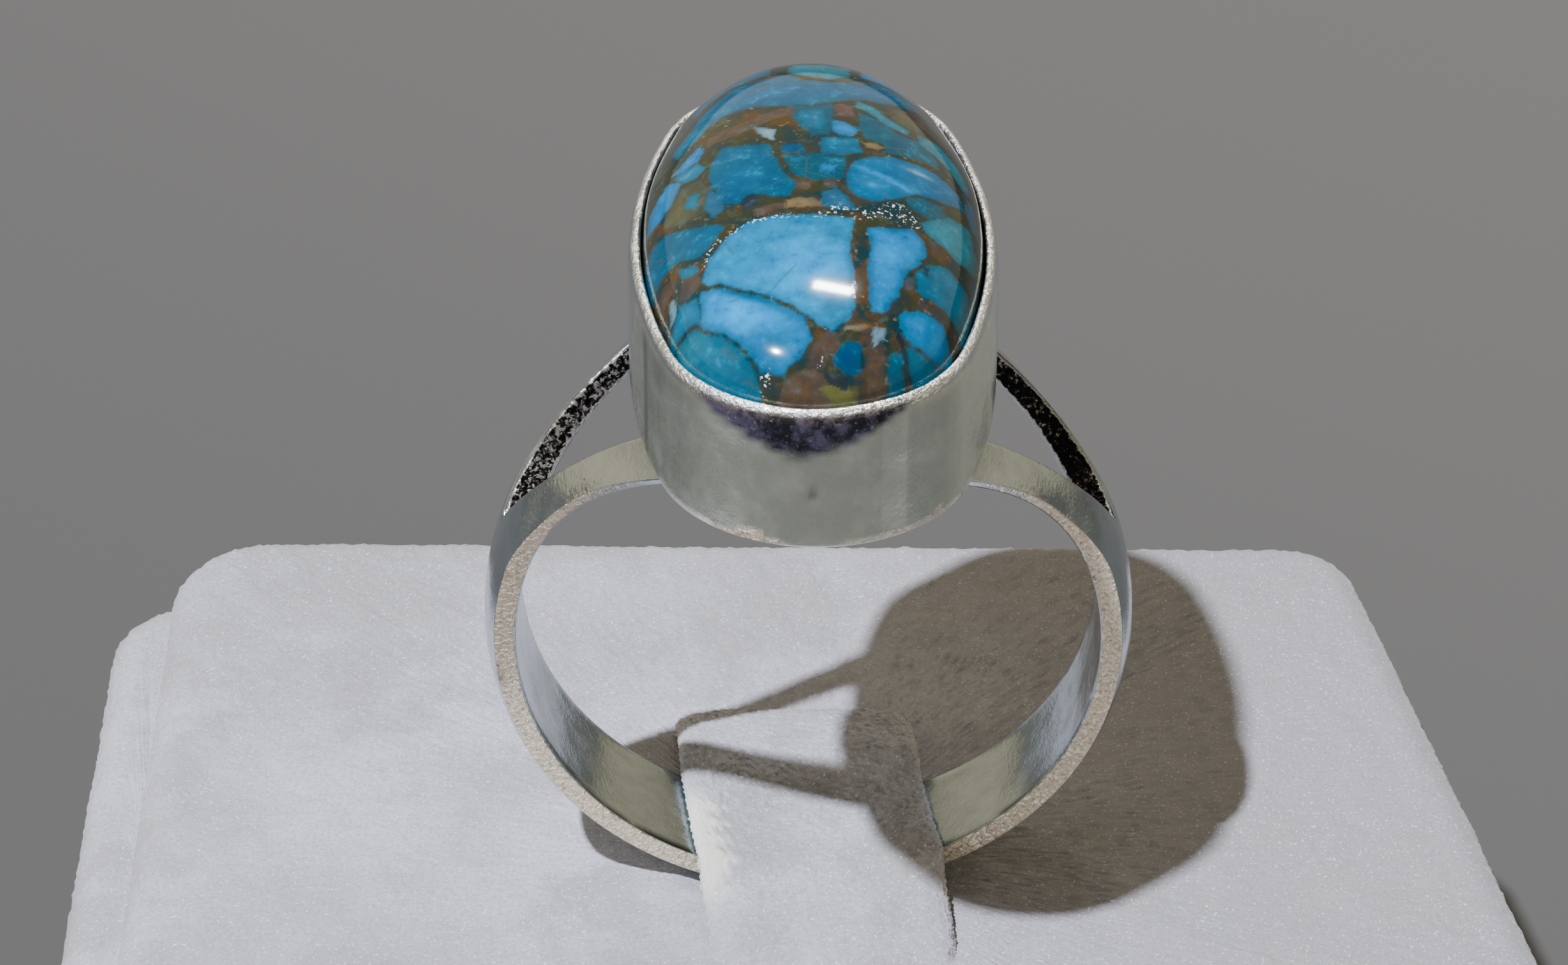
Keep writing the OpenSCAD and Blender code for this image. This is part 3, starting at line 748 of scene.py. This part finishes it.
def stone_material():
    """Polished turquoise: pieces of blue and teal in a brown and olive matrix with copper flecks, and painted
    glints. The attribute edge is the distance in millimetres to the nearest piece's outline, above nought
    inside it, tint is that piece's colour, copper is how much copper the matrix holds and grain is 1 where
    glints are painted."""
    n = Nodes("turquoise")
    edge, tint = n.attribute("edge"), n.attribute("tint", True)

    # Matrix of dark teal and olive, rusty along the seams and in places, with pale and golden flecks
    matrix = n.mix(n.step(n.noise(0.9, 5, 0.6), 0.40, 0.60), (0.007, 0.034, 0.038), (0.036, 0.040, 0.018))
    seam = n.times(n.step(edge, -0.30, -0.03), n.step(n.noise(0.6, 3), 0.44, 0.58))
    rusty = n.math("MAXIMUM", seam, n.step(n.noise(1.1, 4, 0.6), 0.55, 0.66))
    rusty = n.times(rusty, n.step(n.attribute("copper"), 0.0, 0.7, 0.22, 1.0))
    matrix = n.mix(rusty, matrix, (0.085, 0.043, 0.012))
    matrix = n.mix(n.step(n.noise(0.45, 4, 0.6), 0.55, 0.75), matrix, (0.055, 0.08, 0.055))
    matrix = n.mix(n.step(n.noise(0.2, 3, 0.5), 0.63, 0.75), matrix, (0.24, 0.14, 0.04))

    # Clouded pieces that are darker along their outlines
    mottle = n.noise(0.9, 5, 0.6)
    dull = n.mix(0.38, tint, (0.0, 0.055, 0.12))
    vivid = n.mix(0.04, tint, (0.0, 0.7, 0.9))
    piece = n.mix(n.step(mottle, 0.30, 0.72), dull, vivid)
    piece = n.mix(n.step(n.noise(0.2, 4, 0.6), 0.56, 0.8, 0.0, 0.12), piece, (0.0, 0.50, 0.70))
    clouds = n.noise(0.45, 5, 0.7)
    piece = n.mix(n.step(clouds, 0.52, 0.72, 0.0, 0.30), piece, (0.0, 0.42, 0.75))
    piece = n.mix(n.step(clouds, 0.46, 0.28, 0.0, 0.35), piece, (0.0, 0.055, 0.11))
    piece = n.mix(n.step(edge, 0.30, 0.0, 0.0, 0.45), piece, (0.0, 0.070, 0.095))

    # Earthy pieces, whose colour holds little blue, stay brown for the most part
    channels = n.add("ShaderNodeSeparateColor")
    n.put(channels.inputs[0], tint)
    dark_earth = n.mix(0.5, tint, (0.012, 0.010, 0.005))
    light_earth = n.mix(0.15, tint, (0.26, 0.15, 0.06))
    earth = n.mix(n.step(mottle, 0.35, 0.65), dark_earth, light_earth)
    piece = n.mix(n.step(channels.outputs["Blue"], 0.02, 0.05, 0.38, 1.0), earth, piece)

    # Fine veins in the pieces, then the pieces over the matrix with slightly ragged outlines, and painted
    # glints
    vein = n.times(n.step(n.crack_distance(1.3), 0.035, 0.0), n.step(n.noise(1.1, 2), 0.48, 0.6))
    piece = n.mix(n.times(vein, 0.45), piece, (0.06, 0.09, 0.07))
    ragged = n.plus(edge, n.swing(n.noise(0.22, 4, 0.6), 0.19))
    inside = n.step(ragged, -0.04, 0.07)
    colour = n.mix(inside, matrix, piece)
    painted_glint = n.times(n.attribute("grain"), n.step(n.noise(0.10, 1, 0.5), 0.59, 0.66))
    colour = n.mix(painted_glint, colour, (0.92, 0.95, 0.95))
    bumps = n.bump(n.times(n.math("SUBTRACT", 1.0, inside), n.noise(0.18, 3)), 0.003)
    n.set(Base_Color=colour, Roughness=0.075, IOR=1.5, Specular_IOR_Level=0.23, Normal=bumps)
    n.set(Coat_Weight=0.06, Coat_Roughness=0.16)
    return n.material


def stone():
    """The cabochon. Its cap carries a square grid onto the oval, so that its points lie evenly. It rises as a
    power of the sine and draws in as a power of the cosine, and its upper part is slimmer towards the far
    end. A girdle and a foot close it below."""
    line = np.linspace(-1, 1, 281)
    u, v = np.meshgrid(line, line, indexing="ij")
    px, py = u * np.sqrt(1 - v * v / 2), v * np.sqrt(1 - u * u / 2)
    rho = np.minimum(1, np.hypot(px, py))
    girdle, rise = BEZEL_Z + BEZEL_H - GIRDLE_DROP, DOME_H + GIRDLE_DROP
    foot = BEZEL_Z + PLATE_T + STONE_GAP

    def ring(direction, share, z):
        r = share * oval(direction, BEZEL_T + STONE_GAP)
        return np.stack([r * np.cos(direction), r * np.sin(direction), z + 0 * r], -1)

    t = (1 - rho) * math.pi / 2
    direction = np.arctan2(py, px)
    share = np.cos(t) ** DOME_IN_POWER * (rho > 0)
    cap = ring(direction, share, girdle + rise * np.sin(t) ** DOME_UP_POWER)
    far = smooth((cap[..., 1] - PINCH_FROM) / PINCH_OVER)
    high = smooth((cap[..., 2] - girdle) / (PINCH_RISE * rise))
    cap[..., 0] *= 1 - FAR_PINCH * far * high
    border = np.concatenate([direction[0, :-1], direction[:-1, -1], direction[-1, :0:-1], direction[::-1, 0]])
    skirt = ((1, girdle), (1, foot + FOOT_RISE), (FOOT_SHARE, foot), (0, foot))
    return [cap, np.stack([ring(border, part, z) for part, z in skirt])]


def read_chart(x, y):
    """Distance to the nearest piece's outline, above nought inside it, and the piece's colour with its
    patches."""
    edge = np.full(len(x), -9.0)
    tint = np.zeros((len(x), 3)) + TONES["brown"]
    for tone, corners in PIECES:
        d = piece_distance(x, y, corners)
        tint[d > np.minimum(edge, 0.0)] = TONES[tone]
        outside = np.where(edge > 0, np.minimum(edge, np.maximum(-d, 0.02)), np.maximum(edge, d))
        edge = np.where(d > 0, d, outside)
    for tone, cx, cy, ax, ay, turn, strength in PATCHES:
        c, s = math.cos(math.radians(turn)), math.sin(math.radians(turn))
        along, across = (x - cx) * c + (y - cy) * s, (y - cy) * c - (x - cx) * s
        share = strength * np.exp(-((along / ax) ** 2) - (across / ay) ** 2)
        tint += share[:, None] * (np.array(TONES[tone]) - tint)
    return edge, tint


def make_stone():
    """The stone with the attributes that its material reads, worked out from the tables by place alone."""
    obj = build("turquoise_cabochon_shown", on_shank(stone()), stone_material())
    x, y, z = places(obj)
    # The tables are read at a slightly wandering place, so that no outline runs straight
    wx = x + 0.05 * wave(x, y, z, 1.1, 11) + 0.02 * wave(x, y, z, 0.4, 12)
    wy = y + 0.05 * wave(x, y, z, 1.1, 13) + 0.02 * wave(x, y, z, 0.4, 14)
    edge, tint = read_chart(wx, wy)
    grain, copper = np.zeros(len(x)), np.zeros(len(x))
    for reach, points in PAINTED_GLINTS:
        line = piece_distance(x, y, points + points[-2:0:-1])
        grain = np.maximum(grain, smooth(1.6 - np.abs(line) / reach))
    for cx, cy, ax, ay in COPPER:
        copper = np.maximum(copper, np.exp(-(((wx - cx) / ax) ** 2) - ((wy - cy) / ay) ** 2))
    paint(obj, "grain", grain)
    paint(obj, "copper", copper)
    paint(obj, "edge", np.clip(edge + 0.03, -0.5, 0.5))
    paint(obj, "tint", tint)
    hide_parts("turquoise_cabochon")


# Velvet


def velvet_material(name):
    """White velvet with a short nap: fine low bumps, brushed streaks, soft clouds, fine painted glints and a
    sheen.
    It has painted shade towards the front, the right and the back. The attribute lit is 1 on a painted
    highlight along the strap's left edge."""
    n = Nodes(name)
    pile = n.noise(0.13, 3, 0.6)
    streak = n.noise(0.9, 4, 0.6, place=n.stretched(1.0, 0.45, 1.0))
    base = n.mix(n.step(n.noise(5.0, 4), 0.35, 0.65), (0.545, 0.526, 0.55), (0.685, 0.665, 0.71))
    # What is laid over the cloudy white in turn, as share and colour: painted shade towards the front, the
    # right and the back, darker clouds, streaks and nap, painted glints and a painted highlight
    layers = [
        (n.step(n.along("Y"), 0.0, -0.010, 0.0, 0.60), (0.45, 0.42, 0.50)),
        (n.step(n.along("X"), 0.0, 0.014), (0.45, 0.425, 0.45)),
        (n.step(n.along("Y"), 0.004, 0.015, 0.0, 0.4), (0.45, 0.425, 0.44)),
        (n.step(n.noise(3.4, 3, 0.5), 0.47, 0.64, 0.0, 0.75), (0.45, 0.43, 0.42)),
        (n.step(streak, 0.60, 0.30, 0.0, 0.14), (0.45, 0.44, 0.47)),
        (n.step(pile, 0.55, 0.35, 0.0, 0.42), (0.36, 0.335, 0.32)),
        (n.step(n.noise(0.09, 1), 0.62, 0.74, 0.0, 0.8), (0.95, 0.95, 1.0)),
        (n.times(n.attribute("painted_highlight"), 0.9), (1.0, 0.96, 0.82))]
    for share, colour in layers:
        base = n.mix(share, base, colour)
    rolls = n.bump(n.noise(2.2, 3), 0.16)
    brushed = n.bump(streak, 0.04, normal=rolls)
    hair = n.bump(pile, 0.045, 0.8, normal=brushed)
    n.set(Base_Color=base, Roughness=0.95, Sheen_Weight=0.35, Sheen_Roughness=0.5, Normal=hair)
    return n.material


def hull_outline(corners, count):
    """Outline round a few corner circles, given as x, y and radius: for each direction, the point of the
    circle that reaches furthest that way. Returns the outline's points and its outward directions, spaced
    evenly along it."""
    c = np.array(corners, float)
    phi = np.linspace(0, 2 * math.pi, 7201)
    n = np.stack([np.cos(phi), np.sin(phi)], -1)
    best = np.argmax(n @ c[:, :2].T + c[:, 2], axis=1)
    line = c[best, :2] + c[best, 2:3] * n
    length = np.concatenate([[0], np.cumsum(np.linalg.norm(np.diff(line, axis=0), axis=1))])
    at = np.linspace(0, length[-1], count + 1)

    def spread(values):
        return np.stack([np.interp(at, length, values[:, k]) for k in range(values.shape[1])], -1)

    outline, normal = spread(line), spread(n)
    outline[-1], normal[-1] = outline[0], normal[0]
    return outline, normal


def furred(grid, normal, height):
    """The grid with each point moved a little along its normal at random, as the ends of a nap lie. The last
    column follows the first, so that the seam stays closed."""
    lift = np.random.default_rng(41).normal(size=grid.shape[:2]) * height
    lift[:, -1] = lift[:, 0]
    return grid + lift[:, :, None] * normal


def pad(corners, height, count, rings):
    """A stuffed block: a rounded outline of count points carried up from a flat bottom, over a soft edge and
    through rings in to the middle of the top, with gentle hollows in the top away from the ring, a dent where
    the band is pressed in and a furred surface."""
    outline, normal = hull_outline(corners, count)
    middle = outline[:-1].mean(0)
    er = BLOCK_EDGE_R
    # Share of the outline, inset, height, and the outward and upward parts of the normal
    rows = [
        (0, 0, 0, 0, 0), (0.5, 0.25, 0, 0, 0), (1, 0.25, 0, 0, 0), (1, 0.08, 0.08, 0, 0), (1, 0, 0.3, 0, 0)]
    rows += [(1.0, 0.0, z, 1, 0) for z in np.linspace(0.8, height - er, 12)]
    for k in np.linspace(0, math.pi / 2, 9)[1:]:
        c, s = math.cos(k), math.sin(k)
        rows.append((1.0, er - er * c, height - er + er * s, c, s))
    rows += [(k, er, height, 0, min(1, 4 * k)) for k in np.linspace(1, 0, rings)[1:]]
    share, inset, z, out, up = (np.array(rows)[:, k][:, None] for k in range(5))
    x = middle[0] + share * (outline[None, :, 0] - inset * normal[None, :, 0] - middle[0])
    y = middle[1] + share * (outline[None, :, 1] - inset * normal[None, :, 1] - middle[1])
    z = z + 0 * x
    # Hollows, then the dent
    away = smooth((np.hypot(x / 6, (y - 2) / 9) - 0.9) / 0.8)
    on_top = smooth((z - height + 2 * er) / er)
    z = z - away * (0.10 + 0.10 * wave(x, y, 0 * x, 11.0, 21)) * on_top
    band_r = FINGER_R + CROWN_T + SEAT_GAP
    pressed = z - RING_Z + np.sqrt(np.maximum(band_r**2 - x**2, 0))
    beside = smooth((DENT_HALF_W - np.abs(y)) / DENT_SLOPE)
    z = z - np.maximum(pressed, 0) * beside * on_top * (np.abs(x) < DENT_REACH)
    grid = np.stack([x, y, z - RING_Z], -1)
    lean = np.stack([out * normal[None, :, 0], out * normal[None, :, 1], up + 0 * x], -1)
    return furred(grid, lean, BLOCK_FUR)


def make_block():
    """The velvet block: a pad whose right side leans out towards the front, with a lower step along its
    left."""
    small, large = FRONT_CORNER_R, BACK_CORNER_R
    left, right = STEP_W - BLOCK_HALF_W, BLOCK_HALF_W - small
    back, front = BLOCK_HALF_D - large, small - BLOCK_HALF_D
    main = [
        (left + large, back, large), (BACK_RIGHT_X - small, -front, small), (right, LEAN_Y, small),
        (right, front, small), (left + small, front, small)]
    step = [(-right, front, small), (-right, back - STEP_SHORT, small)]
    grids = [pad(main, BLOCK_H, count=860, rings=70), pad(step, BLOCK_H - STEP_DROP, count=300, rings=12)]
    obj = build("display_block_shown", grids, velvet_material("velvet"))
    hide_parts("display_block")


# Route of the strap's underside, front to back: place across, place along, height over the block in the
# middle, share of the finger circle's curve that it follows, and share of the strap's thickness
STRAP_ROUTE = [
    (0.8, -6.1, -0.3, 0, 0.3), (0.78, -5.6, -0.2, 0, 1), (0.72, -4.6, 0.02, 0.05, 1),
    (0.58, -3.3, 0.15, 0.12, 1), (0.46, -2.7, 0.2, 0.25, 1), (0.42, -2.2, 0.33, 1, 1), (0.2, -1, 0.33, 1, 1),
    (-0.03, 0.5, 0.33, 1, 1), (-0.2, 1.75, 0.36, 1, 1.2), (-0.26, 2.4, 0.75, 0.7, 1.4),
    (-0.3, 3, 0.78, 0.5, 1.4), (-0.35, 3.9, 0.6, 0.32, 1.2), (-0.4, 4.8, 0.35, 0.18, 1.1),
    (-0.45, 5.7, 0.05, 0.05, 1), (-0.5, 6.4, -0.25, 0, 1), (-0.5, 7.4, -0.7, 0, 0.6)]


def make_strap():
    """The velvet strap: a strip that sags along the inside of the band, its sections upright, with a pillowed
    top."""
    route = np.array(STRAP_ROUTE)
    along = np.linspace(route[0, 1], route[-1, 1], 190)
    line = np.stack([np.interp(along, route[:, 1], route[:, i]) for i in range(5)], -1)
    # The route's corners are rounded by a mean over nine rows, except at its ends
    ends = np.pad(line, ((4, 4), (0, 0)), "edge")
    soft = np.stack([ends[i : i + len(line)] for i in range(9)]).mean(0)
    line += smooth(np.minimum(along - along[0], along[-1] - along) / 0.8)[:, None] * (soft - line)
    # Across the strip: the underside, then the pillowed top back
    under = np.linspace(-1, 1, 49)[:-1]
    over = np.cos(np.linspace(0, math.pi, 97))
    across = np.concatenate([under, over])[None, :]
    lift = np.concatenate([0 * under, (1 - over**8) ** 0.5])[None, :]
    x = line[:, 0:1] + STRAP_W / 2 * across
    rise = FINGER_R - np.sqrt(FINGER_R**2 - x**2)
    z = BLOCK_TOP + line[:, 2:3] + line[:, 3:4] * rise + STRAP_T * line[:, 4:5] * lift
    body = np.stack([x, line[:, 1:2] + 0 * x, z], -1)
    out = np.stack([across * np.abs(across) ** 7 * (lift > 0), 0 * across, lift], -1) + np.zeros(body.shape)
    body = np.concatenate([body, body[:, :1]], 1)
    body = furred(body, np.concatenate([out, out[:, :1]], 1), STRAP_FUR)
    grids = [body, capped(body[0]), capped(body[-1])]
    obj = build("ring_strap_shown", grids, velvet_material("strap_velvet"))
    # A painted highlight along the strap's left edge, in front of the band's middle
    x, y, z = places(obj)
    from_middle = (np.interp(y, route[:, 1], route[:, 0]) - x) / (STRAP_W / 2)
    side_highlight = smooth((from_middle - 0.68 + 0.12 * wave(x, y, z, 0.6, 42)) / 0.20)
    paint(obj, "painted_highlight", side_highlight * smooth((1.2 - y) / 1.2) * smooth((y + 4.5) / 2.5))
    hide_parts("ring_strap")


# Stage, lights and camera


def lamp(name, toward, distance, power, colour, size, size_y=0, diffuse=True):
    """An area light that shines on the ring from the direction it is given: a disc, or a rectangle where
    size_y is given. One without diffuse only shows as a gleam."""
    data = bpy.data.lights.new(name, "AREA")
    data.shape = "RECTANGLE" if size_y else "DISK"
    data.size = size
    if size_y:
        data.size_y = size_y
    data.energy = power
    data.color = colour
    obj = bpy.data.objects.new(name, data)
    bpy.context.scene.collection.objects.link(obj)
    obj.visible_diffuse = diffuse
    target = Vector((0, 0, RING_Z * MM))
    away = Vector(toward).normalized()
    obj.location = target + away * distance
    obj.rotation_euler = (-away).to_track_quat("-Z", "Y").to_euler()


def make_floor():
    """A plain brown table that grows lighter to the right and the back."""
    n = Nodes("floor")
    across = n.math("MULTIPLY_ADD", n.along("X"), 0.8, n.along("Y"))
    colour = n.mix(n.step(across, -0.03, 0.16), (0.088, 0.084, 0.077), (0.156, 0.145, 0.126))
    n.set(Base_Color=colour, Roughness=0.9)
    mesh = bpy.data.meshes.new("floor")
    mesh.from_pydata([(-3, -3, 0), (3, -3, 0), (3, 3, 0), (-3, 3, 0)], [], [(0, 1, 2, 3)])
    mesh.materials.append(n.material)
    floor = bpy.data.objects.new("floor", mesh)
    bpy.context.scene.collection.objects.link(floor)


def make_world():
    """Warm light from all round, strong from low down and weak from above."""
    world = bpy.data.worlds.new("world")
    bpy.context.scene.world = world
    world.use_nodes = True
    tree = world.node_tree
    split = tree.nodes.new("ShaderNodeSeparateXYZ")
    tree.links.new(tree.nodes.new("ShaderNodeTexCoord").outputs["Generated"], split.inputs[0])
    ramp = tree.nodes.new("ShaderNodeMapRange")
    for key, value in (("From Min", 0.25), ("From Max", 0.75), ("To Min", 0.67), ("To Max", 0.07)):
        ramp.inputs[key].default_value = value
    tree.links.new(split.outputs["Z"], ramp.inputs["Value"])
    tree.links.new(ramp.outputs["Result"], tree.nodes["Background"].inputs["Strength"])
    tree.nodes["Background"].inputs["Color"].default_value = (1.0, 0.87, 0.61, 1)


def make_lamps():
    """A cool lamp from the left front, and a strip from behind that gives the lozenge of light on the
    stone."""
    lamp("key", (-0.373, -0.319, 1.0), distance=0.7, power=9.3, colour=(0.80, 0.855, 1.0), size=0.022)
    lamp("strip", (0.09, 0.36, 0.93), distance=0.6, power=4.8, colour=(1.0, 0.97, 0.93), size=0.115,
         size_y=0.030, diffuse=False)


def make_camera():
    """The fitted camera: a long lens 171 mm from the ring's centre, looking down at 34.8 degrees."""
    look_down, turned = 34.8, 0.30
    data = bpy.data.cameras.new("camera")
    data.lens = 131.9
    data.sensor_width = 36.0
    data.clip_start, data.clip_end = 0.005, 20
    camera = bpy.data.objects.new("camera", data)
    bpy.context.scene.collection.objects.link(camera)
    camera.location = (0, -0.13866, 0.12864)
    camera.rotation_euler = (math.radians(90 - look_down), 0, math.radians(turned))
    bpy.context.scene.camera = camera


make_silver()
make_stone()
make_block()
make_strap()
make_floor()
make_world()
make_lamps()
make_camera()
